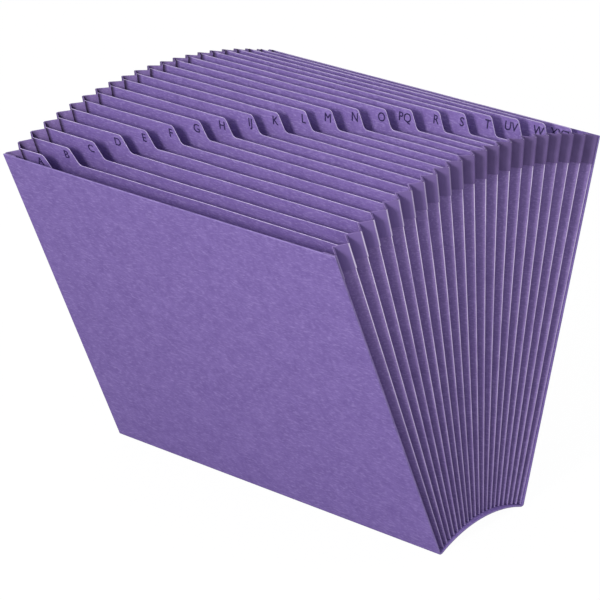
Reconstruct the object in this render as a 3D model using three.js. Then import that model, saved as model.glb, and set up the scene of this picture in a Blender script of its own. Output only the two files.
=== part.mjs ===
// Indexed expanding file, standing open like a fan on its two bottom folds.
// Millimetres, +Z up, X along the cover's width, Y from the front cover to the back cover.
// The origin is under the middle of the file, on the surface that it stands on.

import * as THREE from 'three';

// Cover: one board sheet folded into a front, an arched bottom and a back
const coverWidth = 304.8;
const coverHeight = 254;
const coverThickness = 1.2;
const bottomDepth = 85.4;
const bottomRise = 8.6;
const footWidth = 2.5;
const footFoldRadius = 1.8;
const frontTilt = 17.7;
const backTilt = 22;

// Side gussets: one pleated sheet on each side, glued by a flap inside each cover
const gussetThickness = 0.5;
const gussetTopInset = 1.2;
const gussetHeight = coverHeight - gussetTopInset;
const gussetPanelWidth = 9.525;
const gussetInset = 1;
const gussetWaist = 2.4;
const gussetWaistSkew = 1.5;
const gussetFlapWidth = 9.5;

// Reinforcing tape round the top of each gusset
const tapeHeight = 19;
const tapeThickness = 0.3;

// Index dividers, one glued into each pair of inner folds
const labels = [
  'A', 'B', 'C', 'D', 'E', 'F', 'G', 'H', 'IJ', 'K', 'L',
  'M', 'N', 'O', 'PQ', 'R', 'S', 'T', 'UV', 'W', 'XYZ',
];
const dividerThickness = 0.5;
const tabProud = 1.5;
const tabDrop = 12.7;
const tabSlope = 65;
const firstTabLength = 22.4;
const lastTabMargin = 0.5;
const tabCornerRadius = 3.5;
const tabFootRadius = 4;

// Glue line between two pieces
const glueGap = 0.3;

// Steps along curves
const archSteps = 28;
const bendSteps = 5;
const gussetRows = 5;

// Angles in radians, and the bottom arch as part of a circle
const frontAngle = THREE.MathUtils.degToRad(-frontTilt);
const backAngle = THREE.MathUtils.degToRad(backTilt);
const slopeAngle = THREE.MathUtils.degToRad(tabSlope);
const archHalfSpan = bottomDepth / 2 - footWidth;
const archRadius = (archHalfSpan ** 2 + bottomRise ** 2) / (2 * bottomRise);
const archCentreHeight = bottomRise - archRadius;

// Outer folds and inner folds take turns: even numbers are outer folds, odd ones inner folds
const lastFold = 2 * labels.length;
const seatOffset = coverThickness + glueGap;
const endFoldOffset = seatOffset + gussetThickness;
const firstFoldY =
  -bottomDepth / 2 + seatOffset * Math.tan(frontAngle) + endFoldOffset / Math.cos(frontAngle);
const lastFoldY =
  bottomDepth / 2 + seatOffset * Math.tan(backAngle) - endFoldOffset / Math.cos(backAngle);

const paper = {
  cover: new THREE.MeshStandardMaterial({ color: 0x8570b2, roughness: 0.85, metalness: 0 }),
  gusset: new THREE.MeshStandardMaterial({ color: 0x7460a2, roughness: 0.88, metalness: 0 }),
  tape: new THREE.MeshStandardMaterial({ color: 0x665390, roughness: 0.8, metalness: 0 }),
};

// Direction up a line that leans from the vertical by an angle, in the Y-Z plane
function leaning(angle) {
  return new THREE.Vector3(0, Math.sin(angle), Math.cos(angle));
}

// Direction from front to back, square to a line that leans by an angle
function acrossLeaning(angle) {
  return new THREE.Vector3(0, Math.cos(angle), -Math.sin(angle));
}

// Height of the bottom sheet at a depth, measured to a surface offset above its underside
function bottomHeight(y, offset) {
  const arch = Math.sqrt((archRadius + offset) ** 2 - y * y) + archCentreHeight;
  return Math.max(arch, offset);
}

function foldAngle(fold) {
  return THREE.MathUtils.lerp(frontAngle, backAngle, fold / lastFold);
}

// Point on a fold line, at a distance up it from the bottom sheet, at x = 0
function foldPoint(fold, height) {
  const y = THREE.MathUtils.lerp(firstFoldY, lastFoldY, fold / lastFold);
  const foot = new THREE.Vector3(0, y, bottomHeight(y, seatOffset));
  return foot.addScaledVector(leaning(foldAngle(fold)), height);
}

// How far out the outer folds reach, with the fan pinched in a little past its middle
function outerFoldReach(fold) {
  const waist = gussetWaist * Math.sin(Math.PI * (fold / lastFold) ** gussetWaistSkew);
  return coverWidth / 2 - gussetInset - waist;
}

// How far out the centre of a fold's bend lies: the pleats get shallower as they open
function bendReach(fold, height) {
  const outer = outerFoldReach(fold) - gussetThickness;
  if (fold % 2 === 0) {
    return outer;
  }
  const opening = foldPoint(fold - 1, height).distanceTo(foldPoint(fold + 1, height)) / 2;
  return outer - Math.sqrt(gussetPanelWidth ** 2 - opening ** 2);
}

function bendCentre(fold, height) {
  const point = foldPoint(fold, height);
  point.x = bendReach(fold, height);
  return point;
}

// Outward normal of the panel between a fold and the next one. The panel's outer face passes
// through the inner fold's bend centre and its inner face through the outer fold's.
function panelNormal(fold, height) {
  if (fold < 0) {
    return acrossLeaning(frontAngle).negate();
  }
  if (fold >= lastFold) {
    return acrossLeaning(backAngle);
  }
  const here = bendCentre(fold, height);
  const next = bendCentre(fold + 1, height);
  const across = new THREE.Vector3(0, next.y - here.y, next.z - here.z);
  const opening = across.length();
  const goesIn = fold % 2 === 0;
  const depth = goesIn ? here.x - next.x : next.x - here.x;
  const lean = Math.atan2(opening, -depth) - Math.acos(gussetThickness / Math.hypot(opening, depth));
  const turn = goesIn ? lean : -lean;
  return new THREE.Vector3(Math.cos(turn), 0, 0).addScaledVector(across, Math.sin(turn) / opening);
}

// The bend centre of each fold at a height, with the normals of the panels before and after it
function foldBends(height) {
  const bends = [];
  for (let fold = 0; fold <= lastFold; fold += 1) {
    const before = panelNormal(fold - 1, height);
    const after = panelNormal(fold, height);
    const middle = before.clone().add(after).normalize();
    bends.push({ fold, centre: bendCentre(fold, height), before, middle, after });
  }
  return bends;
}

// Points of a round bend, at a radius about its centre
function roundBend(bend, radius) {
  return [bend.before, bend.middle, bend.after].map((normal) =>
    bend.centre.clone().addScaledVector(normal, radius));
}

// Point where the faces of two panels meet inside a fold, offset outwards from the gusset
function sharpBend(bend, offset) {
  return bend.centre.clone().addScaledVector(bend.middle, offset / bend.middle.dot(bend.after));
}

// Closed outline of the gusset's sheet at a height: its outer face, then its inner face back
function gussetRing(height) {
  const bends = foldBends(height);
  const flap = new THREE.Vector3(-gussetFlapWidth, 0, 0);
  const first = bends[0];
  const last = bends[lastFold];
  const outer = bends.flatMap((bend) =>
    (bend.fold % 2 === 0 ? roundBend(bend, gussetThickness) : [bend.centre]));
  const inner = bends.flatMap((bend) =>
    (bend.fold % 2 === 0 ? [bend.centre] : roundBend(bend, -gussetThickness)));
  outer.unshift(outer[0].clone().add(flap));
  outer.push(outer[outer.length - 1].clone().add(flap));
  inner.unshift(first.centre.clone().add(flap));
  inner.push(last.centre.clone().add(flap));
  return [...outer, ...inner.reverse()];
}

// One face of the tape at a height, offset outwards from the gusset's outer face
function tapeFace(bends, offset) {
  const points = bends.flatMap((bend) =>
    (bend.fold % 2 === 0 ? roundBend(bend, gussetThickness + offset) : [sharpBend(bend, offset)]));
  return points.slice(1, -1);
}

function tapeRing(height) {
  const bends = foldBends(height);
  const outer = tapeFace(bends, glueGap + tapeThickness);
  const inner = tapeFace(bends, glueGap);
  return [...outer, ...inner.reverse()];
}

// Closed solid through a stack of rings with the same number of points, from bottom to top
function loft(rings) {
  const count = rings[0].length;
  const positions = rings.flat().flatMap((point) => [point.x, point.y, point.z]);
  const indices = [];
  for (let row = 0; row + 1 < rings.length; row += 1) {
    for (let i = 0; i < count; i += 1) {
      const next = (i + 1) % count;
      const low = row * count;
      const high = low + count;
      indices.push(low + i, low + next, high + next, low + i, high + next, high + i);
    }
  }
  const addCap = (ring, start, upward) => {
    const outline = ring.map((point) => new THREE.Vector2(point.x, point.y));
    const isAnticlockwise = THREE.ShapeUtils.area(outline) > 0;
    for (const [a, b, c] of THREE.ShapeUtils.triangulateShape(outline, [])) {
      const turned = upward === isAnticlockwise ? [a, b, c] : [a, c, b];
      indices.push(...turned.map((index) => start + index));
    }
  };
  addCap(rings[0], 0, false);
  addCap(rings[rings.length - 1], (rings.length - 1) * count, true);
  const geometry = new THREE.BufferGeometry();
  geometry.setAttribute('position', new THREE.Float32BufferAttribute(positions, 3));
  geometry.setIndex(indices);
  geometry.computeVertexNormals();
  return geometry;
}

// The same solid on the other side of the file, with its faces still pointing out
function mirrored(geometry) {
  const copy = geometry.clone();
  copy.scale(-1, 1, 1);
  const index = copy.getIndex();
  for (let i = 0; i < index.count; i += 3) {
    const second = index.getX(i + 1);
    index.setX(i + 1, index.getX(i + 2));
    index.setX(i + 2, second);
  }
  copy.computeVertexNormals();
  return copy;
}

// Points that round the corner of an outline between its neighbours
function roundedCorner(before, corner, after, radius) {
  const toBefore = before.clone().sub(corner).normalize();
  const toAfter = after.clone().sub(corner).normalize();
  const halfAngle = Math.acos(toBefore.dot(toAfter)) / 2;
  const reach = radius / Math.tan(halfAngle);
  const start = corner.clone().addScaledVector(toBefore, reach);
  const end = corner.clone().addScaledVector(toAfter, reach);
  const bisector = toBefore.clone().add(toAfter).normalize();
  const centre = corner.clone().addScaledVector(bisector, radius / Math.sin(halfAngle));
  const startAngle = start.clone().sub(centre).angle();
  const endAngle = end.clone().sub(centre).angle();
  const sweep = THREE.MathUtils.euclideanModulo(endAngle - startAngle + Math.PI, 2 * Math.PI) - Math.PI;
  const points = [];
  for (let step = 0; step <= bendSteps; step += 1) {
    const angle = startAngle + (sweep * step) / bendSteps;
    points.push(new THREE.Vector2(Math.cos(angle), Math.sin(angle)).multiplyScalar(radius).add(centre));
  }
  return points;
}

// One face of the cover sheet, from the front's top to the back's, offset inwards from its outside
function coverFace(offset) {
  const front = leaning(frontAngle);
  const back = leaning(backAngle);
  const lineY = (foot, angle, side) => foot + offset * Math.tan(angle) + side * (offset / Math.cos(angle));
  const frontFoot = new THREE.Vector2(lineY(-bottomDepth / 2, frontAngle, 1), offset);
  const backFoot = new THREE.Vector2(lineY(bottomDepth / 2, backAngle, -1), offset);
  const frontTop = new THREE.Vector2(-bottomDepth / 2, 0)
    .add(new THREE.Vector2(front.y, front.z).multiplyScalar(coverHeight))
    .add(new THREE.Vector2(front.z, -front.y).multiplyScalar(offset));
  const backTop = new THREE.Vector2(bottomDepth / 2, 0)
    .add(new THREE.Vector2(back.y, back.z).multiplyScalar(coverHeight))
    .add(new THREE.Vector2(-back.z, back.y).multiplyScalar(offset));
  const radius = archRadius + offset;
  const halfSpan = Math.sqrt(radius ** 2 - (offset - archCentreHeight) ** 2);
  const halfSweep = Math.asin(halfSpan / radius);
  const arch = [];
  for (let step = 0; step <= archSteps; step += 1) {
    const angle = halfSweep * ((2 * step) / archSteps - 1);
    arch.push(new THREE.Vector2(radius * Math.sin(angle), radius * Math.cos(angle) + archCentreHeight));
  }
  const bend = footFoldRadius - offset;
  return [
    frontTop,
    ...roundedCorner(frontTop, frontFoot, arch[0], bend),
    ...arch,
    ...roundedCorner(arch[archSteps], backFoot, backTop, bend),
    backTop,
  ];
}

function makeCover() {
  const outline = [...coverFace(0), ...coverFace(coverThickness).reverse()];
  const section = new THREE.Shape(outline);
  const geometry = new THREE.ExtrudeGeometry(section, { depth: coverWidth, bevelEnabled: false });
  const axes = new THREE.Matrix4().makeBasis(
    new THREE.Vector3(0, 1, 0), new THREE.Vector3(0, 0, 1), new THREE.Vector3(1, 0, 0));
  geometry.translate(0, 0, -coverWidth / 2);
  geometry.applyMatrix4(axes);
  const cover = new THREE.Mesh(geometry, paper.cover);
  cover.name = 'wraparound_cover';
  return cover;
}

// Heights of the gusset's rows: even steps up to the tape's lower edge, then its top
function rowHeights() {
  const tapeFoot = gussetHeight - tapeHeight;
  const heights = [];
  for (let row = 0; row < gussetRows; row += 1) {
    heights.push((tapeFoot * row) / (gussetRows - 1));
  }
  return [...heights, gussetHeight];
}

function makeGussets() {
  const right = new THREE.Mesh(loft(rowHeights().map(gussetRing)), paper.gusset);
  right.name = 'gusset_right';
  const left = new THREE.Mesh(mirrored(right.geometry), paper.gusset.clone());
  left.name = 'gusset_left';
  return [left, right];
}

function makeTapes() {
  const heights = [gussetHeight - tapeHeight, gussetHeight];
  const right = new THREE.Mesh(loft(heights.map(tapeRing)), paper.tape);
  right.name = 'edge_tape_right';
  const left = new THREE.Mesh(mirrored(right.geometry), paper.tape.clone());
  left.name = 'edge_tape_left';
  return [left, right];
}

// Half the width of a divider at a height, short of the inner folds that hold it
function dividerReach(fold, height) {
  const level = Math.min(height, gussetHeight);
  return bendReach(fold, level) - gussetThickness - glueGap;
}

// Where a tab's top ends, stepping evenly from the first divider's tab to the last one's
function tabEndX(number) {
  const slopeRun = tabDrop / Math.tan(slopeAngle);
  const footRun = tabFootRadius * Math.tan(slopeAngle / 2);
  const first = firstTabLength - dividerReach(1, gussetHeight);
  const last = dividerReach(lastFold - 1, gussetHeight) - slopeRun - footRun - lastTabMargin;
  return THREE.MathUtils.lerp(first, last, number / (labels.length - 1));
}

// Outline of a divider in its own plane: x along the file, y up the fold
function dividerShape(number, fold) {
  const tabTop = gussetHeight + tabProud;
  const shoulder = tabTop - tabDrop;
  const sides = rowHeights().filter((height) => height < shoulder);
  const rightSide = sides.map((height) => new THREE.Vector2(dividerReach(fold, height), height));
  const leftSide = sides.map((height) => new THREE.Vector2(-dividerReach(fold, height), height));
  const topLeft = new THREE.Vector2(-dividerReach(fold, tabTop), tabTop);
  const shoulderEnd = new THREE.Vector2(dividerReach(fold, shoulder), shoulder);
  const tabEnd = new THREE.Vector2(tabEndX(number), tabTop);
  const tabFoot = tabEnd.clone().add(new THREE.Vector2(tabDrop / Math.tan(slopeAngle), -tabDrop));
  return new THREE.Shape([
    ...rightSide,
    shoulderEnd,
    ...roundedCorner(shoulderEnd, tabFoot, tabEnd, tabFootRadius),
    ...roundedCorner(tabFoot, tabEnd, topLeft, tabCornerRadius),
    topLeft,
    ...leftSide.reverse(),
  ]);
}

function makeDivider(label, number) {
  const fold = 2 * number + 1;
  const shape = dividerShape(number, fold);
  const geometry = new THREE.ExtrudeGeometry(shape, { depth: dividerThickness, bevelEnabled: false });
  geometry.translate(0, 0, -dividerThickness / 2);
  const colour = new THREE.MeshStandardMaterial({ color: 0x7d67ad, roughness: 0.87, metalness: 0 });
  const divider = new THREE.Mesh(geometry, colour);
  divider.position.copy(foldPoint(fold, 0));
  divider.rotation.x = Math.PI / 2 - foldAngle(fold);
  divider.name = `divider_${label}`;
  return divider;
}

// The back cover leans further out than the front one, so the file is moved to stand centred
const frontReach = bottomDepth / 2 + coverHeight * Math.sin(-frontAngle);
const backReach = bottomDepth / 2 + coverHeight * Math.sin(backAngle);

const expandingFile = new THREE.Group();
expandingFile.add(makeCover(), ...makeGussets(), ...makeTapes(), ...labels.map(makeDivider));
expandingFile.position.y = (frontReach - backReach) / 2;

export default expandingFile;
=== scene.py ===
import math
import random

import bpy
from mathutils import Matrix, Vector


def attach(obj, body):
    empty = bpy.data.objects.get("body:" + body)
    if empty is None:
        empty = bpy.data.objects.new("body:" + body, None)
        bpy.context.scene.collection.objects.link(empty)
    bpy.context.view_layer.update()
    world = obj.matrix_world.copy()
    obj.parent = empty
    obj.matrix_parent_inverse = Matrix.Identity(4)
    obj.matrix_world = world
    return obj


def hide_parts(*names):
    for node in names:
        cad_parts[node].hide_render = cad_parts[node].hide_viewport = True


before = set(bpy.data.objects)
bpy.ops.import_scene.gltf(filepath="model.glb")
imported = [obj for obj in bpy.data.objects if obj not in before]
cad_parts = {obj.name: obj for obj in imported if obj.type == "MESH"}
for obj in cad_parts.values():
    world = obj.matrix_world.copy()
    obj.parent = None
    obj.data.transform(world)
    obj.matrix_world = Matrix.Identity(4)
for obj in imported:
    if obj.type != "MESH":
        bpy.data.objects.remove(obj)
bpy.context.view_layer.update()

# Dresses an indexed expanding file: purple paperboard cover, pleated sides, taped top edges,
# and lettered dividers. Metres, in the frame's axes: X along the cover, Y front to back, Z up.

# Cover sheet
COVER_WIDTH = 0.3048
COVER_HEIGHT = 0.254
COVER_THICKNESS = 0.0012
BOTTOM_DEPTH = 0.0854
BOTTOM_RISE = 0.0086
FOOT_WIDTH = 0.0025
FOOT_FOLD_RADIUS = 0.0018
FRONT_ANGLE = math.radians(-17.7)
BACK_ANGLE = math.radians(22)
COVER_BOW = 0.0009
COVER_BOW_LEAD = 4
COVER_COLUMNS = 28
COVER_SIDE_STEPS = 28
ARCH_STEPS = 48
FOOT_FOLD_STEPS = 6
SOFT_EDGE_WIDTH = 0.0003

# Side gussets and the tape round their tops
GUSSET_THICKNESS = 0.0005
GUSSET_HEIGHT = 0.2528
GUSSET_PANEL_WIDTH = 0.009525
GUSSET_INSET = 0.001
GUSSET_WAIST = 0.0024
GUSSET_WAIST_SKEW = 1.5
GUSSET_FLAP_WIDTH = 0.0095
GUSSET_ROWS = 40
FOLD_STEPS = 4
PANEL_SHARES = (0.04, 0.5, 0.96)
FOLD_WOBBLE = 0.00022
WOBBLE_WAVES = 3
WOBBLE_RATES = (8, 30)
WOBBLE_SHARES = (0.2, 0.5)
WOBBLE_SEEDS = {"left": 11, "right": 5}
# Painted shade on the inner face along each outer fold's crease, as a mark below 0
CREASE_PAINTED_SHADE = -0.7
# Outer folds get pale wear with a painted highlight, weaker low down and on the first fold
LOWEST_FOLD_RUB_AND_HIGHLIGHT = 0.3
HIGHEST_FOLD_RUB_AND_HIGHLIGHT = 1.1
FIRST_FOLD_RUB_AND_HIGHLIGHT = 0.2
TAPE_HEIGHT = 0.019
TAPE_THICKNESS = 0.0003
TAPE_ROWS = 6
TAPE_FOLD_STEPS = 6
# Tape colour painted lighter at the front and darker behind, as painted light and shade
TAPE_PAINTED_SHADING_START = -0.08
TAPE_PAINTED_SHADING_END = 0.03
# The tape's outer folds get pale wear with a painted highlight, fading out towards the back
TAPE_RUB_AND_HIGHLIGHT_FOLDS = 22
TAPE_FAINT_RUB_AND_HIGHLIGHT = 0.1
GLUE_GAP = 0.0003
WELD_DISTANCE = 0.00001

# Dividers and their tabs
LABELS = [
    "A", "B", "C", "D", "E", "F", "G", "H", "IJ", "K", "L",
    "M", "N", "O", "PQ", "R", "S", "T", "UV", "W", "XYZ",
]
DIVIDER_THICKNESS = 0.0005
DIVIDER_BOW = 0.0009
RIPPLE_SHARE = 0.5
RIPPLE_WAVES = 3
TAB_PROUD = 0.0015
TAB_DROP = 0.0127
TAB_SLOPE = math.radians(65)
FIRST_TAB_LENGTH = 0.0224
LAST_TAB_MARGIN = 0.0005
TAB_CORNER_RADIUS = 0.0035
TAB_FOOT_RADIUS = 0.004
TAB_CORNER_STEPS = 8
TOP_LINE_STEP = 0.009
FIRST_ROW_HEIGHT = 0.03
LAST_ROW_DROP = 0.004
DIVIDER_ROWS = 8
TAB_ROW_SHARES = (0.35, 0.7)
DIVIDER_SEED = 200
# Painted shade in a band at each end of a divider, where it meets the gusset
SEAM_WIDTH = 0.0045
SEAM_SHARES = (0.3, 1)
SEAM_PAINTED_SHADE = [-1, -0.9]
# Divider top edges get pale wear with a painted highlight, stronger towards the back
EDGE_RUB_AND_HIGHLIGHT_HEIGHT = 0.0007
FRONT_EDGE_WEAR_AND_HIGHLIGHT = 0
BACK_EDGE_WEAR_AND_HIGHLIGHT = 0.8

# Printed index letters
LETTER_SIZE = 0.0087
LETTER_BOLDNESS = 0.00008
FIRST_LETTER_MARGIN = 0.0017
LAST_LETTER_MARGIN = -0.0006
MARGIN_CHANGE_TABS = 10
LETTER_TOP_MARGIN = 0.0024
LETTER_CAP_SHARE = 0.73
LETTER_CURVE_STEPS = 4
INK_THICKNESS = 0.00003

# Camera, as fitted to the photograph's frame of 600 by 600 pixels
CAMERA_PLACE = Vector((1.4897, -1.4705, 1.0703))
CAMERA_TARGET = Vector((-0.0022, 0.0, 0.128))
CAMERA_ROLL = math.radians(-4.54)
CAMERA_FOCAL_PIXELS = 3388
IMAGE_PIXELS = 600
SENSOR_WIDTH = 36.0
CAMERA_REACH = 20

# Light: a soft key lamp above the front and to its right, and a sky that is paler low down
KEY_AZIMUTH = math.radians(14)
KEY_ELEVATION = math.radians(29)
KEY_DISTANCE = 1.4
KEY_SIZE = 0.34
KEY_POWER = 9.9
HORIZON_LIGHT = 0.87
ZENITH_LIGHT = 0.66
KEY_COLOUR = (1.0, 0.97, 0.93)
SKY_COLOUR = (0.96, 0.96, 1.0, 1.0)
WHITE = (1.0, 1.0, 1.0, 1.0)
FLOOR_GREY = (0.45, 0.45, 0.45, 1.0)
FLOOR_HALF_WIDTH = 6.0
FLOOR_GLOW = 1.05
FLOOR_GLOW_SHARE = 0.93

# Surfaces: scale and share of each pattern, height of the grain in metres, roughness and shine
CLOUD_SCALE = 95
MOTTLE_SCALE = 420
FIBRE_SCALE = 750
# Scale of the patches in the pale wear and painted highlight on folds and edges
RUB_AND_HIGHLIGHT_SCALE = 70
CORE_SCALE = 160
CUT_SCALE = 1500
WEAVE_SCALE = 1400
TAPE_CLOUD_SCALE = 120
INK_SCALE = 900
CLOUD_SHARE = 0.45
MOTTLE_SHARE = 0.55
FIBRE_SHARE = 0.7
MOTTLE_GRAIN_SHARE = 0.6
PAPER_GRAIN = 0.00012
EDGE_GRAIN = 0.00008
TAPE_GRAIN = 0.0001
PAPER_ROUGHNESS = 0.82
EDGE_ROUGHNESS = 0.7
TAPE_ROUGHNESS = 0.75
INK_ROUGHNESS = 0.6
PAPER_SHINE = 0.25
TAPE_SHINE = 0.3
FLOOR_ROUGHNESS = 0.9

LAST_FOLD = 2 * len(LABELS)
HALF_TAPE_FOLD = TAPE_FOLD_STEPS // 2
ARCH_HALF_SPAN = BOTTOM_DEPTH / 2 - FOOT_WIDTH
ARCH_RADIUS = (ARCH_HALF_SPAN**2 + BOTTOM_RISE**2) / (2 * BOTTOM_RISE)
ARCH_CENTRE = BOTTOM_RISE - ARCH_RADIUS
SEAT_OFFSET = COVER_THICKNESS + GLUE_GAP
END_FOLD_OFFSET = SEAT_OFFSET + GUSSET_THICKNESS
FIRST_FOLD_Y = (
    -BOTTOM_DEPTH / 2
    + SEAT_OFFSET * math.tan(FRONT_ANGLE)
    + END_FOLD_OFFSET / math.cos(FRONT_ANGLE)
)
LAST_FOLD_Y = (
    BOTTOM_DEPTH / 2
    + SEAT_OFFSET * math.tan(BACK_ANGLE)
    - END_FOLD_OFFSET / math.cos(BACK_ANGLE)
)

# The frame's origin is under the middle of the whole file, the fan's under the middle of its base
FAN_SHIFT = Vector((0, COVER_HEIGHT * (math.sin(-FRONT_ANGLE) - math.sin(BACK_ANGLE)) / 2, 0))


def mix(a, b, share):
    return a + (b - a) * share


# Fan geometry

def leaning(angle):
    return Vector((0, math.sin(angle), math.cos(angle)))


def across_leaning(angle):
    return Vector((0, math.cos(angle), -math.sin(angle)))


def bottom_height(y, offset):
    arch = math.sqrt((ARCH_RADIUS + offset) ** 2 - y * y) + ARCH_CENTRE
    return max(arch, offset)


def fold_angle(fold):
    return mix(FRONT_ANGLE, BACK_ANGLE, fold / LAST_FOLD)


def fold_point(fold, height):
    y = mix(FIRST_FOLD_Y, LAST_FOLD_Y, fold / LAST_FOLD)
    return Vector((0, y, bottom_height(y, SEAT_OFFSET))) + leaning(fold_angle(fold)) * height


def outer_fold_reach(fold):
    waist = GUSSET_WAIST * math.sin(math.pi * (fold / LAST_FOLD) ** GUSSET_WAIST_SKEW)
    return COVER_WIDTH / 2 - GUSSET_INSET - waist


def bend_reach(fold, height):
    outer = outer_fold_reach(fold) - GUSSET_THICKNESS
    if fold % 2 == 0:
        return outer
    opening = (fold_point(fold - 1, height) - fold_point(fold + 1, height)).length / 2
    return outer - math.sqrt(GUSSET_PANEL_WIDTH**2 - opening**2)


class FoldWobble:
    """Small hand-folded unevenness of the outer folds, the same for the gusset and its tape."""

    def __init__(self, seed):
        source = random.Random(seed)
        self.waves = [
            [self.draw_wave(source) for _ in range(WOBBLE_WAVES)] for _ in range(LAST_FOLD + 1)
        ]

    @staticmethod
    def draw_wave(source):
        """Rate for each metre of height, starting angle, and share of the full wobble."""
        rate = source.uniform(*WOBBLE_RATES)
        start = source.uniform(0, 2 * math.pi)
        share = source.uniform(*WOBBLE_SHARES)
        return rate, start, share

    def at(self, fold, height):
        if fold % 2 or fold in (0, LAST_FOLD):
            return 0.0
        total = 0
        for rate, start, share in self.waves[fold]:
            total += share * math.sin(rate * height + start)
        return FOLD_WOBBLE * total


def bend_centre(fold, height, wobble):
    point = fold_point(fold, height)
    point.x = bend_reach(fold, height) + wobble.at(fold, height)
    return point


def panel_normal(here, next_centre, goes_in):
    """Outward normal of a panel between two folds.

    Its outer face passes through the inner fold's centre, its inner face through the outer fold's.
    """
    across = Vector((0, next_centre.y - here.y, next_centre.z - here.z))
    opening = across.length
    depth = abs(here.x - next_centre.x)
    spread = math.acos(GUSSET_THICKNESS / math.hypot(opening, depth))
    lean = math.atan2(opening, -depth) - spread
    turn = lean if goes_in else -lean
    return Vector((math.cos(turn), 0, 0)) + across * (math.sin(turn) / opening)


def fold_bends(height, wobble):
    """Each fold at a height, with its centre and the outward normals of the panels beside it."""
    centres = [bend_centre(fold, height, wobble) for fold in range(LAST_FOLD + 1)]
    normals = [-across_leaning(FRONT_ANGLE)]
    normals += [panel_normal(centres[i], centres[i + 1], i % 2 == 0) for i in range(LAST_FOLD)]
    normals.append(across_leaning(BACK_ANGLE))
    return list(zip(range(LAST_FOLD + 1), centres, normals, normals[1:]))


def arc_points(centre, before, after, radius, steps):
    """Points round a centre from one direction to another."""
    turn = before.angle(after)
    points = []
    for step in range(steps + 1):
        share = step / steps
        blend = before * math.sin((1 - share) * turn) + after * math.sin(share * turn)
        points.append(centre + blend / math.sin(turn) * radius)
    return points


# Mesh helpers

def make_object(name, vertices, faces, materials, sharp_angle, face_slots=None, marks=None):
    """New object. A mark on each point gives its pale wear and painted highlight, or below 0 its
    painted shade.
    """
    mesh = bpy.data.meshes.new(name)
    mesh.from_pydata([tuple(v) for v in vertices], [], faces)
    for material in materials:
        mesh.materials.append(material)
    if face_slots:
        mesh.polygons.foreach_set("material_index", face_slots)
    if marks:
        layer = mesh.attributes.new("mark", "FLOAT", "POINT")
        layer.data.foreach_set("value", marks)
    mesh.polygons.foreach_set("use_smooth", [True] * len(mesh.polygons))
    mesh.set_sharp_from_angle(angle=math.radians(sharp_angle))
    mesh.validate()
    piece = bpy.data.objects.new(name, mesh)
    bpy.context.scene.collection.objects.link(piece)
    return piece


def finish_piece(piece, slot, *nodes):
    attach(piece, "root")
    if nodes:
        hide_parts(*nodes)


def loft_rings(rings, mirror):
    """Closed sheet through a stack of rings, each its outer points and then its inner ones back."""
    count = len(rings[0])
    half = count // 2
    sign = -1 if mirror else 1
    vertices = [Vector((sign * p.x, p.y, p.z)) + FAN_SHIFT for ring in rings for p in ring]
    faces = []
    for row in range(len(rings) - 1):
        low = row * count
        high = low + count
        for i in range(count):
            following = (i + 1) % count
            faces.append((low + i, low + following, high + following, high + i))
    for start, upward in ((0, False), ((len(rings) - 1) * count, True)):
        for i in range(half - 1):
            quad = (start + i, start + i + 1, start + count - 2 - i, start + count - 1 - i)
            faces.append(quad if upward else quad[::-1])
    if mirror:
        faces = [face[::-1] for face in faces]
    return vertices, faces


# Materials

def rgb(red, green, blue):
    """Linear colour of a screen colour given as 0 to 255."""
    def channel(value):
        share = value / 255
        return share / 12.92 if share <= 0.04045 else ((share + 0.055) / 1.055) ** 2.4
    return (channel(red), channel(green), channel(blue), 1.0)


class NodeTree:
    """Short calls for building a material's nodes."""

    def __init__(self, name):
        self.material = bpy.data.materials.new(name)
        self.material.use_nodes = True
        self.nodes = self.material.node_tree.nodes
        self.links = self.material.node_tree.links
        self.shader = self.nodes["Principled BSDF"]
        coordinates = self.nodes.new("ShaderNodeTexCoord")
        self.place = coordinates.outputs["Object"]

    def noise(self, scale, detail=4.0, roughness=0.6, stretch=(1, 1, 1)):
        mapping = self.nodes.new("ShaderNodeMapping")
        mapping.inputs["Scale"].default_value = stretch
        self.links.new(self.place, mapping.inputs["Vector"])
        node = self.nodes.new("ShaderNodeTexNoise")
        node.inputs["Scale"].default_value = scale
        node.inputs["Detail"].default_value = detail
        node.inputs["Roughness"].default_value = roughness
        self.links.new(mapping.outputs["Vector"], node.inputs["Vector"])
        return node.outputs["Fac"]

    def ramp(self, value, low, high):
        node = self.nodes.new("ShaderNodeMapRange")
        node.inputs["From Min"].default_value = low
        node.inputs["From Max"].default_value = high
        self.links.new(value, node.inputs["Value"])
        return node.outputs["Result"]

    def math(self, operation, first, second):
        node = self.nodes.new("ShaderNodeMath")
        node.operation = operation
        for socket, value in zip(node.inputs, (first, second)):
            if isinstance(value, (int, float)):
                socket.default_value = value
            else:
                self.links.new(value, socket)
        return node.outputs["Value"]

    def blend(self, share, first, second):
        node = self.nodes.new("ShaderNodeMix")
        node.data_type = "RGBA"
        self.links.new(share, node.inputs["Factor"])
        for name, value in (("A", first), ("B", second)):
            socket = next(s for s in node.inputs if s.name == name and s.type == "RGBA")
            if isinstance(value, tuple):
                socket.default_value = value
            else:
                self.links.new(value, socket)
        return next(s for s in node.outputs if s.type == "RGBA")

    def attribute(self, name):
        node = self.nodes.new("ShaderNodeAttribute")
        node.attribute_name = name
        return node.outputs["Fac"]

    def bump(self, height, strength, distance):
        node = self.nodes.new("ShaderNodeBump")
        node.inputs["Strength"].default_value = strength
        node.inputs["Distance"].default_value = distance
        self.links.new(height, node.inputs["Height"])
        self.links.new(node.outputs["Normal"], self.shader.inputs["Normal"])


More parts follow.
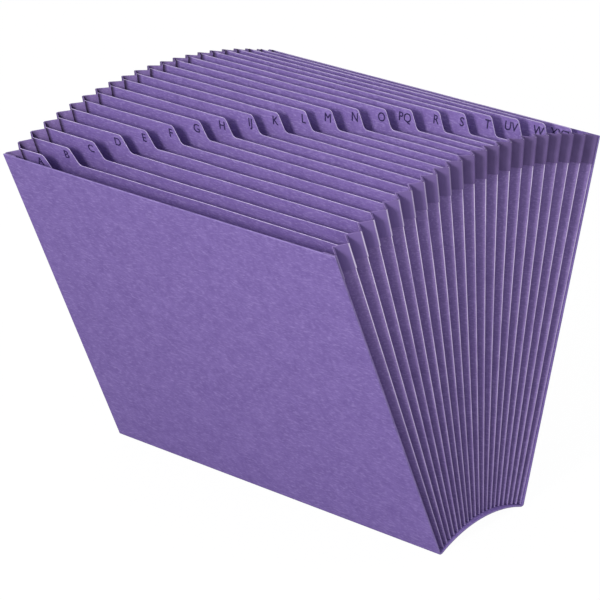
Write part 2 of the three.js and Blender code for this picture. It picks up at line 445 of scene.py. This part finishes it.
def paper_material(name, deep, plain, pale, pale_rub_and_highlight=None):
    """Fibrous dyed paper: cloudy tone and fine pale fibres.

    Where a wear colour is given, marks above 0 are pale wear with a painted highlight on folds and
    edges, and marks below 0 are painted shade in creases and at seams.
    """
    tree = NodeTree(name)
    clouds = tree.ramp(tree.noise(CLOUD_SCALE, detail=5, roughness=0.62), low=0.36, high=0.64)
    mottle = tree.ramp(tree.noise(MOTTLE_SCALE, detail=4, roughness=0.7), low=0.32, high=0.68)
    strands = tree.noise(FIBRE_SCALE, detail=2, roughness=0.5, stretch=(0.35, 1.0, 1.4))
    fibres = tree.ramp(strands, low=0.5, high=0.75)
    cloud_tone = tree.math("MULTIPLY", clouds, CLOUD_SHARE)
    mottle_tone = tree.math("MULTIPLY", mottle, MOTTLE_SHARE)
    tone = tree.math("ADD", cloud_tone, mottle_tone)
    colour = tree.blend(tone, deep, plain)
    colour = tree.blend(tree.math("MULTIPLY", fibres, FIBRE_SHARE), colour, pale)
    if pale_rub_and_highlight:
        rub_and_highlight_noise = tree.noise(RUB_AND_HIGHLIGHT_SCALE, detail=3, roughness=0.6, stretch=(1, 1, 0.5))
        patches = tree.ramp(rub_and_highlight_noise, low=0.2, high=0.5)
        mark = tree.attribute("mark")
        rub_and_highlight = tree.math("MAXIMUM", tree.math("MULTIPLY", mark, patches), 0)
        colour = tree.blend(rub_and_highlight, colour, pale_rub_and_highlight)
        shade = tree.math("MAXIMUM", tree.math("MULTIPLY", mark, -1), 0)
        colour = tree.blend(shade, colour, CREASE_SHADE)
    tree.links.new(colour, tree.shader.inputs["Base Color"])
    tree.shader.inputs["Roughness"].default_value = PAPER_ROUGHNESS
    tree.shader.inputs["Specular IOR Level"].default_value = PAPER_SHINE
    grain = tree.math("ADD", tree.math("MULTIPLY", mottle, MOTTLE_GRAIN_SHARE), fibres)
    tree.bump(grain, strength=0.35, distance=PAPER_GRAIN)
    return tree.material


def edge_material(name, plain, pale):
    """Cut edge of dyed board: pale core that shows unevenly along the cut, brighter on the dividers
    as a painted highlight.
    """
    tree = NodeTree(name)
    share = tree.ramp(tree.noise(CORE_SCALE, detail=4, roughness=0.7), low=0.3, high=0.6)
    colour = tree.blend(share, plain, pale)
    tree.links.new(colour, tree.shader.inputs["Base Color"])
    tree.shader.inputs["Roughness"].default_value = EDGE_ROUGHNESS
    tree.bump(tree.noise(CUT_SCALE, detail=2), strength=0.2, distance=EDGE_GRAIN)
    return tree.material


def tape_material(name, painted_light_front, deep, plain, pale_rub_and_highlight):
    """Paper-cloth tape with a fine weave, painted lighter over the front pleats and darker behind as
    painted shade, with pale wear and a painted highlight at its marks.
    """
    tree = NodeTree(name)
    weft = tree.noise(WEAVE_SCALE, detail=1, roughness=0.5, stretch=(1, 1, 0.25))
    warp = tree.noise(WEAVE_SCALE, detail=1, roughness=0.5, stretch=(1, 0.25, 1))
    weave = tree.math("MULTIPLY", tree.math("ADD", weft, warp), 0.5)
    clouds = tree.ramp(tree.noise(TAPE_CLOUD_SCALE, detail=4), low=0.3, high=0.7)
    colour = tree.blend(clouds, deep, plain)
    axes = tree.nodes.new("ShaderNodeSeparateXYZ")
    tree.links.new(tree.place, axes.inputs["Vector"])
    backwards = tree.ramp(axes.outputs["Y"], TAPE_PAINTED_SHADING_START, TAPE_PAINTED_SHADING_END)
    colour = tree.blend(backwards, painted_light_front, colour)
    colour = tree.blend(tree.attribute("mark"), colour, pale_rub_and_highlight)
    tree.links.new(colour, tree.shader.inputs["Base Color"])
    tree.shader.inputs["Roughness"].default_value = TAPE_ROUGHNESS
    tree.shader.inputs["Specular IOR Level"].default_value = TAPE_SHINE
    tree.bump(weave, strength=0.3, distance=TAPE_GRAIN)
    return tree.material


def ink_material(name, plain, thin):
    """Printed ink, a little starved where the paper is rough."""
    tree = NodeTree(name)
    share = tree.ramp(tree.noise(INK_SCALE, detail=3, roughness=0.7), low=0.55, high=0.75)
    colour = tree.blend(share, plain, thin)
    tree.links.new(colour, tree.shader.inputs["Base Color"])
    tree.shader.inputs["Roughness"].default_value = INK_ROUGHNESS
    return tree.material


# Painted shade colour for the gussets' inner creases and the dividers' seams
CREASE_SHADE = rgb(48, 36, 62)
COVER_PAPER = paper_material(
    "cover_paper", rgb(110, 89, 156), rgb(131, 110, 177), rgb(154, 135, 197)
)
COVER_EDGE = edge_material("cover_edge", rgb(112, 93, 155), rgb(142, 123, 184))
DIVIDER_PAPER = paper_material(
    "divider_paper", rgb(122, 100, 168), rgb(143, 120, 189), rgb(167, 148, 209), rgb(230, 218, 250)
)
# Divider edges: pale core, made brighter still as a painted highlight of the lit top edges
DIVIDER_EDGE = edge_material("divider_edge", rgb(152, 133, 195), rgb(216, 201, 240))
GUSSET_PAPER = paper_material(
    "gusset_paper", rgb(125, 104, 163), rgb(145, 123, 183), rgb(163, 144, 201), rgb(240, 228, 254)
)
# Tape: the first colour is painted lighter for the front, the others darker behind as painted shade
TAPE_PAPER = tape_material(
    "tape_paper", rgb(122, 102, 162), rgb(98, 80, 129), rgb(112, 93, 145), rgb(240, 228, 254)
)
INK = ink_material("index_ink", rgb(40, 25, 80), rgb(62, 44, 106))


# Cover sheet

def panel_points(start, end, shares):
    return [start.lerp(end, share) for share in shares]


def rounded_corner(before, corner, after, radius, steps):
    """Points round a corner between two straight lines."""
    to_before = (before - corner).normalized()
    to_after = (after - corner).normalized()
    half = to_before.angle(to_after) / 2
    centre = corner + (to_before + to_after).normalized() * (radius / math.sin(half))
    start = corner + to_before * (radius / math.tan(half)) - centre
    end = corner + to_after * (radius / math.tan(half)) - centre
    return arc_points(centre, start.normalized(), end.normalized(), radius, steps)


def cover_face(offset):
    """Points of one face of the sheet from the front's top to the back's, as (0, y, z)."""
    def foot_y(foot, angle, side):
        return foot + offset * math.tan(angle) + side * offset / math.cos(angle)

    front_foot = Vector((0, foot_y(-BOTTOM_DEPTH / 2, FRONT_ANGLE, 1), offset))
    back_foot = Vector((0, foot_y(BOTTOM_DEPTH / 2, BACK_ANGLE, -1), offset))
    front_top = (
        Vector((0, -BOTTOM_DEPTH / 2, 0))
        + leaning(FRONT_ANGLE) * COVER_HEIGHT
        + across_leaning(FRONT_ANGLE) * offset
    )
    back_top = (
        Vector((0, BOTTOM_DEPTH / 2, 0))
        + leaning(BACK_ANGLE) * COVER_HEIGHT
        - across_leaning(BACK_ANGLE) * offset
    )
    radius = ARCH_RADIUS + offset
    half_sweep = math.acos((offset - ARCH_CENTRE) / radius)
    arch = []
    for step in range(ARCH_STEPS + 1):
        angle = half_sweep * (2 * step / ARCH_STEPS - 1)
        arch.append(Vector((0, radius * math.sin(angle), radius * math.cos(angle) + ARCH_CENTRE)))
    bend = FOOT_FOLD_RADIUS - offset
    front_bend = rounded_corner(front_top, front_foot, arch[0], bend, FOOT_FOLD_STEPS)
    back_bend = rounded_corner(arch[-1], back_foot, back_top, bend, FOOT_FOLD_STEPS)
    shares = [step / COVER_SIDE_STEPS for step in range(COVER_SIDE_STEPS + 1)]
    front = panel_points(front_top, front_bend[0], shares[:-1])
    back = panel_points(back_bend[-1], back_top, shares[1:])
    return front + front_bend + arch + back_bend + back


def cover_bow(index, count, across):
    """Outward swell of a cover at a point of its face, none at the sheet's sides or its feet."""
    from_top = min(index, count - 1 - index)
    if from_top >= COVER_SIDE_STEPS:
        return Vector((0, 0, 0))
    turn = math.pi * (from_top + COVER_BOW_LEAD) / (COVER_SIDE_STEPS + COVER_BOW_LEAD)
    swell = COVER_BOW * (1 - across**2) * math.sin(turn)
    if index == from_top:
        return across_leaning(FRONT_ANGLE) * -swell
    return across_leaning(BACK_ANGLE) * swell


def make_cover():
    outer = cover_face(0)
    inner = cover_face(COVER_THICKNESS)
    count = len(outer)
    vertices = []
    for face in (outer, inner):
        for column in range(COVER_COLUMNS + 1):
            across = 2 * column / COVER_COLUMNS - 1
            aside = Vector((across * COVER_WIDTH / 2, 0, 0))
            for index, point in enumerate(face):
                vertices.append(aside + point + cover_bow(index, count, across) + FAN_SHIFT)
    layer = (COVER_COLUMNS + 1) * count
    faces = []
    slots = []

    def add(face, slot):
        faces.append(face)
        slots.append(slot)

    for column in range(COVER_COLUMNS):
        for i in range(count - 1):
            a = column * count + i
            b = a + count
            add((a, b, b + 1, a + 1), 0)
            add((layer + a, layer + a + 1, layer + b + 1, layer + b), 0)
        for i in (0, count - 1):
            a = column * count + i
            b = a + count
            quad = (a, layer + a, layer + b, b)
            add(quad if i == 0 else quad[::-1], 1)
    for column in (0, COVER_COLUMNS):
        for i in range(count - 1):
            a = column * count + i
            quad = (a, a + 1, layer + a + 1, layer + a)
            add(quad if column == 0 else quad[::-1], 1)
    materials = [COVER_PAPER, COVER_EDGE]
    cover = make_object("cover_sheet", vertices, faces, materials, sharp_angle=50, face_slots=slots)
    bevel = cover.modifiers.new("soft_edges", "BEVEL")
    bevel.width = SOFT_EDGE_WIDTH
    bevel.segments = 2
    bevel.limit_method = "ANGLE"
    bevel.angle_limit = math.radians(60)
    finish_piece(cover, "cover_board", "wraparound_cover")


# Gussets and tape

def fold_rub_and_highlight(fold):
    """The first fold, against the front cover, gets less pale wear and painted highlight than the
    others.
    """
    return FIRST_FOLD_RUB_AND_HIGHLIGHT if fold == 0 else 1


def gusset_ring(height, wobble):
    """Outer face then inner face of the pleated sheet at a height, with a mark for each point."""
    bends = fold_bends(height, wobble)
    flap = Vector((-GUSSET_FLAP_WIDTH, 0, 0))
    outer = []
    inner = []
    outer_marks = []
    inner_marks = []
    for fold, centre, before, after in bends:
        if fold % 2 == 0:
            crest = arc_points(centre, before, after, GUSSET_THICKNESS, FOLD_STEPS)
            base = [centre] * (FOLD_STEPS + 1)
            # Pale wear and painted highlight along the crest, weaker low down
            rub_and_highlight = mix(LOWEST_FOLD_RUB_AND_HIGHLIGHT, HIGHEST_FOLD_RUB_AND_HIGHLIGHT, height / GUSSET_HEIGHT) * fold_rub_and_highlight(fold)
            crest_marks = [0, rub_and_highlight**2, rub_and_highlight, rub_and_highlight**2, 0]
            crease_painted_shade_marks = [CREASE_PAINTED_SHADE] * (FOLD_STEPS + 1)
        else:
            crest = [centre] * (FOLD_STEPS + 1)
            base = arc_points(centre, -before, -after, GUSSET_THICKNESS, FOLD_STEPS)
            crest_marks = [0] * (FOLD_STEPS + 1)
            crease_painted_shade_marks = crest_marks
        if fold == 0:
            outer.append(crest[0] + flap)
            inner.append(centre + flap)
            outer_marks.append(0)
            inner_marks.append(0)
        else:
            outer += panel_points(outer[-1], crest[0], PANEL_SHARES)
            inner += panel_points(inner[-1], base[0], PANEL_SHARES)
            outer_marks += [0, 0, 0]
            # Painted shade on the inner face beside each outer fold
            inner_marks += [0, 0, CREASE_PAINTED_SHADE] if fold % 2 == 0 else [CREASE_PAINTED_SHADE, 0, 0]
        outer += crest
        inner += base
        outer_marks += crest_marks
        inner_marks += crease_painted_shade_marks
    outer.append(outer[-1] + flap)
    inner.append(inner[-1] + flap)
    outer_marks.append(0)
    inner_marks.append(0)
    return outer + inner[::-1], outer_marks + inner_marks[::-1]


def row_heights(low, high, count):
    return [mix(low, high, row / (count - 1)) for row in range(count)]


def weld_points(piece):
    """Joins points that lie on each other, such as a sharp crease's."""
    weld = piece.modifiers.new("weld", "WELD")
    weld.merge_threshold = WELD_DISTANCE


def make_gusset(side):
    wobble = FoldWobble(WOBBLE_SEEDS[side])
    built = [gusset_ring(height, wobble) for height in row_heights(0, GUSSET_HEIGHT, GUSSET_ROWS)]
    vertices, faces = loft_rings([ring for ring, _ in built], side == "left")
    marks = [value for _, row in built for value in row]
    name = f"pleats_{side}"
    piece = make_object(name, vertices, faces, [GUSSET_PAPER], sharp_angle=75, marks=marks)
    weld_points(piece)
    finish_piece(piece, "gusset_paper", f"gusset_{side}")


def tape_ring(height, wobble):
    """Outer face then inner face of the tape at a height, from mid first fold to mid last fold."""
    bends = fold_bends(height, wobble)
    faces = []
    for offset in (GLUE_GAP + TAPE_THICKNESS, GLUE_GAP):
        points = []
        for fold, centre, before, after in bends:
            if fold % 2 == 0:
                radius = GUSSET_THICKNESS + offset
                points += arc_points(centre, before, after, radius, TAPE_FOLD_STEPS)
            else:
                middle = (before + after).normalized()
                points.append(centre + middle * (offset / middle.dot(after)))
        faces.append(points[HALF_TAPE_FOLD:-HALF_TAPE_FOLD])
    return faces[0] + faces[1][::-1]


def tape_ring_marks():
    """A mark for each point of a tape ring. Its outer folds get pale wear and a painted highlight on
    the front pleats.
    """
    outer = []
    for fold in range(LAST_FOLD + 1):
        rub_and_highlight = max(0, 1 - fold / TAPE_RUB_AND_HIGHLIGHT_FOLDS) * fold_rub_and_highlight(fold)
        faint = TAPE_FAINT_RUB_AND_HIGHLIGHT * rub_and_highlight
        outer += [0, faint, rub_and_highlight, rub_and_highlight, rub_and_highlight, faint, 0] if fold % 2 == 0 else [0]
    outer = outer[HALF_TAPE_FOLD:-HALF_TAPE_FOLD]
    return outer + [0] * len(outer)


def make_tape(side):
    wobble = FoldWobble(WOBBLE_SEEDS[side])
    heights = row_heights(GUSSET_HEIGHT - TAPE_HEIGHT, GUSSET_HEIGHT, TAPE_ROWS)
    rings = [tape_ring(height, wobble) for height in heights]
    vertices, faces = loft_rings(rings, side == "left")
    marks = tape_ring_marks() * TAPE_ROWS
    name = f"tape_{side}"
    piece = make_object(name, vertices, faces, [TAPE_PAPER], sharp_angle=60, marks=marks)
    finish_piece(piece, "edge_tape", f"edge_tape_{side}")


# Dividers

def divider_reach(fold, height):
    return bend_reach(fold, min(height, GUSSET_HEIGHT)) - GUSSET_THICKNESS - GLUE_GAP


def tab_end_x(number):
    slope_run = TAB_DROP / math.tan(TAB_SLOPE)
    foot_run = TAB_FOOT_RADIUS * math.tan(TAB_SLOPE / 2)
    first = FIRST_TAB_LENGTH - divider_reach(1, GUSSET_HEIGHT)
    last = divider_reach(LAST_FOLD - 1, GUSSET_HEIGHT) - slope_run - foot_run - LAST_TAB_MARGIN
    return mix(first, last, number / (len(LABELS) - 1))


class Divider:
    """A divider's outline in its plane, its gentle bow, and its place in the fan."""

    def __init__(self, number):
        self.number = number
        self.fold = 2 * number + 1
        source = random.Random(DIVIDER_SEED + number)
        self.bow = DIVIDER_BOW * source.uniform(-1, 1)
        self.wave = DIVIDER_BOW * source.uniform(-RIPPLE_SHARE, RIPPLE_SHARE)
        self.phase = source.uniform(0, 2 * math.pi)
        self.tab_top = GUSSET_HEIGHT + TAB_PROUD
        self.shoulder = self.tab_top - TAB_DROP
        self.top_line = self.make_top_line()

    def make_top_line(self):
        """Points along the sheet's top edge, tab first, with two near each end for the seams."""
        reach = divider_reach(self.fold, GUSSET_HEIGHT)
        top_left = Vector((-reach, self.tab_top, 0))
        tab_end = Vector((tab_end_x(self.number), self.tab_top, 0))
        tab_foot = tab_end + Vector((TAB_DROP / math.tan(TAB_SLOPE), -TAB_DROP, 0))
        right_end = Vector((reach, self.shoulder, 0))
        corner = rounded_corner(
            top_left, tab_end, tab_foot, TAB_CORNER_RADIUS, TAB_CORNER_STEPS
        )
        foot = rounded_corner(tab_end, tab_foot, right_end, TAB_FOOT_RADIUS, TAB_CORNER_STEPS)
        line = [top_left, *corner, *foot, right_end]
        dense = []
        for start, end in zip(line, line[1:]):
            steps = max(1, round((end.x - start.x) / TOP_LINE_STEP))
            dense += [start.lerp(end, step / steps) for step in range(steps)]
        seam = [share * SEAM_WIDTH for share in SEAM_SHARES]
        left = [top_left + Vector((inset, 0, 0)) for inset in seam]
        right = [right_end - Vector((inset, 0, 0)) for inset in reversed(seam)]
        return [dense[0], *left, *dense[1:], *right, right_end]

    def place(self, x, height, out):
        """Point of the sheet at x along it and height up it, out in front of its middle."""
        reach = divider_reach(self.fold, height)
        across = min(1.0, abs(x) / reach)
        lift = (height / self.tab_top) ** 2
        ripple = self.wave * math.sin(RIPPLE_WAVES * math.pi * x / reach + self.phase)
        bow = (self.bow + ripple) * (1 - across**2) * lift
        angle = fold_angle(self.fold)
        centre = fold_point(self.fold, height)
        return Vector((x, 0, 0)) + centre - across_leaning(angle) * (out + bow) + FAN_SHIFT

    def sheet(self):
        """Rows of (x, height) up the sheet. The last rows follow its top edge."""
        last_row = self.shoulder - LAST_ROW_DROP
        rows = [0, *row_heights(FIRST_ROW_HEIGHT, last_row, DIVIDER_ROWS)]
        reach_top = divider_reach(self.fold, GUSSET_HEIGHT)
        grid = []
        for height in rows:
            scale = divider_reach(self.fold, height) / reach_top
            grid.append([(point.x * scale, height) for point in self.top_line])
        for share in TAB_ROW_SHARES:
            grid.append([(point.x, mix(last_row, point.y, share)) for point in self.top_line])
        for drop in (EDGE_RUB_AND_HIGHLIGHT_HEIGHT, 0):
            grid.append([(point.x, point.y - drop) for point in self.top_line])
        return grid

    def build(self):
        grid = self.sheet()
        count = len(grid[0])
        vertices = []
        for out in (DIVIDER_THICKNESS / 2, -DIVIDER_THICKNESS / 2):
            vertices += [self.place(x, height, out) for row in grid for x, height in row]
        layer = len(grid) * count
        faces = []
        slots = []
        for row in range(len(grid) - 1):
            for i in range(count - 1):
                a = row * count + i
                b = a + count
                faces.append((a, a + 1, b + 1, b))
                faces.append((layer + a, layer + b, layer + b + 1, layer + a + 1))
                slots += [0, 0]
        rim = list(range(count))
        rim += [row * count + count - 1 for row in range(1, len(grid))]
        rim += [(len(grid) - 1) * count + i for i in range(count - 2, -1, -1)]
        rim += [row * count for row in range(len(grid) - 2, 0, -1)]
        for start, end in zip(rim, rim[1:] + rim[:1]):
            faces.append((start, layer + start, layer + end, end))
            slots.append(1)
        # Pale wear with a painted highlight along the top edge, stronger towards the back
        wear_and_highlight = mix(FRONT_EDGE_WEAR_AND_HIGHLIGHT, BACK_EDGE_WEAR_AND_HIGHLIGHT, self.number / (len(LABELS) - 1))
        # Every row has painted shade at both ends, where the sheet meets the gusset
        plain_row, wear_and_highlight_row = (
            SEAM_PAINTED_SHADE + [mark] * (count - 2 * len(SEAM_PAINTED_SHADE)) + SEAM_PAINTED_SHADE[::-1]
            for mark in (0, wear_and_highlight)
        )
        marks = (plain_row * (len(grid) - 1) + wear_and_highlight_row) * 2
        label = LABELS[self.number]
        materials = [DIVIDER_PAPER, DIVIDER_EDGE]
        piece = make_object(
            f"index_sheet_{label}", vertices, faces, materials,
            sharp_angle=50, face_slots=slots, marks=marks,
        )
        finish_piece(piece, "divider_paper", f"divider_{label}")


def make_letters(divider):
    """The label printed near the right end of a divider's tab, following the sheet."""
    label = LABELS[divider.number]
    curve = bpy.data.curves.new(f"letters_{label}", "FONT")
    curve.body = label
    curve.size = LETTER_SIZE
    curve.align_x = "RIGHT"
    curve.extrude = INK_THICKNESS
    curve.bevel_depth = LETTER_BOLDNESS
    curve.bevel_resolution = 0
    curve.resolution_u = LETTER_CURVE_STEPS
    text = bpy.data.objects.new(f"letters_{label}", curve)
    bpy.context.scene.collection.objects.link(text)
    bpy.context.view_layer.update()
    evaluated = text.evaluated_get(bpy.context.evaluated_depsgraph_get())
    mesh = bpy.data.meshes.new_from_object(evaluated)
    bpy.data.objects.remove(text)
    shift = min(1, divider.number / MARGIN_CHANGE_TABS)
    right = tab_end_x(divider.number) - mix(FIRST_LETTER_MARGIN, LAST_LETTER_MARGIN, shift)
    base = divider.tab_top - LETTER_TOP_MARGIN - LETTER_CAP_SHARE * LETTER_SIZE
    front = DIVIDER_THICKNESS / 2 + INK_THICKNESS + LETTER_BOLDNESS
    for vertex in mesh.vertices:
        x, y, z = vertex.co
        vertex.co = divider.place(right + x, base + y, front + z)
    mesh.materials.clear()
    mesh.materials.append(INK)
    piece = bpy.data.objects.new(f"index_print_{label}", mesh)
    bpy.context.scene.collection.objects.link(piece)
    weld_points(piece)
    finish_piece(piece, "divider_paper")


# Camera, floor and light

def make_camera():
    camera_data = bpy.data.cameras.new("camera")
    camera_data.sensor_fit = "HORIZONTAL"
    camera_data.sensor_width = SENSOR_WIDTH
    camera_data.lens = CAMERA_FOCAL_PIXELS / IMAGE_PIXELS * SENSOR_WIDTH
    camera_data.clip_end = CAMERA_REACH
    camera = bpy.data.objects.new("camera", camera_data)
    forward = (CAMERA_TARGET - CAMERA_PLACE).normalized()
    level_right = forward.cross(Vector((0, 0, 1))).normalized()
    level_up = level_right.cross(forward)
    right = level_right * math.cos(CAMERA_ROLL) + level_up * math.sin(CAMERA_ROLL)
    up = level_up * math.cos(CAMERA_ROLL) - level_right * math.sin(CAMERA_ROLL)
    axes = Matrix((right, up, -forward)).transposed()
    camera.matrix_world = Matrix.Translation(CAMERA_PLACE + FAN_SHIFT) @ axes.to_4x4()
    bpy.context.scene.collection.objects.link(camera)
    bpy.context.scene.camera = camera


def background_rays(nodes, links):
    """1 for rays from the camera, reflections and glass, which all see the plain background."""
    path = nodes.new("ShaderNodeLightPath")
    rays = path.outputs["Is Camera Ray"]
    for kind in ("Is Glossy Ray", "Is Transmission Ray"):
        either = nodes.new("ShaderNodeMath")
        either.operation = "MAXIMUM"
        links.new(rays, either.inputs[0])
        links.new(path.outputs[kind], either.inputs[1])
        rays = either.outputs["Value"]
    return rays


def make_floor():
    reach = FLOOR_HALF_WIDTH
    corners = [(-reach, -reach, 0), (reach, -reach, 0), (reach, reach, 0), (-reach, reach, 0)]
    mesh = bpy.data.meshes.new("floor")
    mesh.from_pydata(corners, [], [(0, 1, 2, 3)])
    floor = bpy.data.objects.new("floor", mesh)
    bpy.context.scene.collection.objects.link(floor)
    material = bpy.data.materials.new("floor_white")
    material.use_nodes = True
    nodes = material.node_tree.nodes
    links = material.node_tree.links
    shader = nodes["Principled BSDF"]
    shader.inputs["Base Color"].default_value = FLOOR_GREY
    shader.inputs["Roughness"].default_value = FLOOR_ROUGHNESS
    glow = nodes.new("ShaderNodeEmission")
    glow.inputs["Color"].default_value = WHITE
    glow.inputs["Strength"].default_value = FLOOR_GLOW
    seen = nodes.new("ShaderNodeMath")
    seen.operation = "MULTIPLY"
    seen.inputs[1].default_value = FLOOR_GLOW_SHARE
    links.new(background_rays(nodes, links), seen.inputs[0])
    blend = nodes.new("ShaderNodeMixShader")
    links.new(seen.outputs["Value"], blend.inputs["Fac"])
    links.new(shader.outputs["BSDF"], blend.inputs[1])
    links.new(glow.outputs["Emission"], blend.inputs[2])
    links.new(blend.outputs["Shader"], nodes["Material Output"].inputs["Surface"])
    mesh.materials.append(material)


def make_world():
    world = bpy.data.worlds.new("studio")
    bpy.context.scene.world = world
    world.use_nodes = True
    nodes = world.node_tree.nodes
    links = world.node_tree.links
    light = nodes["Background"]
    light.inputs["Color"].default_value = SKY_COLOUR
    place = nodes.new("ShaderNodeTexCoord")
    axes = nodes.new("ShaderNodeSeparateXYZ")
    links.new(place.outputs["Generated"], axes.inputs["Vector"])
    overhead = nodes.new("ShaderNodeMapRange")
    overhead.inputs["To Min"].default_value = HORIZON_LIGHT
    overhead.inputs["To Max"].default_value = ZENITH_LIGHT
    links.new(axes.outputs["Z"], overhead.inputs["Value"])
    links.new(overhead.outputs["Result"], light.inputs["Strength"])
    white = nodes.new("ShaderNodeBackground")
    white.inputs["Color"].default_value = WHITE
    white.inputs["Strength"].default_value = 1.0
    blend = nodes.new("ShaderNodeMixShader")
    links.new(background_rays(nodes, links), blend.inputs["Fac"])
    links.new(light.outputs["Background"], blend.inputs[1])
    links.new(white.outputs["Background"], blend.inputs[2])
    links.new(blend.outputs["Shader"], nodes["World Output"].inputs["Surface"])


def make_key_lamp():
    data = bpy.data.lights.new("key", "AREA")
    data.shape = "DISK"
    data.size = KEY_SIZE
    data.energy = KEY_POWER
    data.color = KEY_COLOUR
    lamp = bpy.data.objects.new("key", data)
    away = Vector((
        math.sin(KEY_AZIMUTH) * math.cos(KEY_ELEVATION),
        -math.cos(KEY_AZIMUTH) * math.cos(KEY_ELEVATION),
        math.sin(KEY_ELEVATION),
    ))
    lamp.location = Vector((0, 0, COVER_HEIGHT / 2)) + away * KEY_DISTANCE
    lamp.rotation_euler = away.to_track_quat("Z", "Y").to_euler()
    bpy.context.scene.collection.objects.link(lamp)


make_camera()
make_cover()
for side in ("left", "right"):
    make_gusset(side)
    make_tape(side)
for number in range(len(LABELS)):
    divider = Divider(number)
    divider.build()
    make_letters(divider)
make_floor()
make_world()
make_key_lamp()
bpy.context.scene.view_settings.view_transform = "Standard"
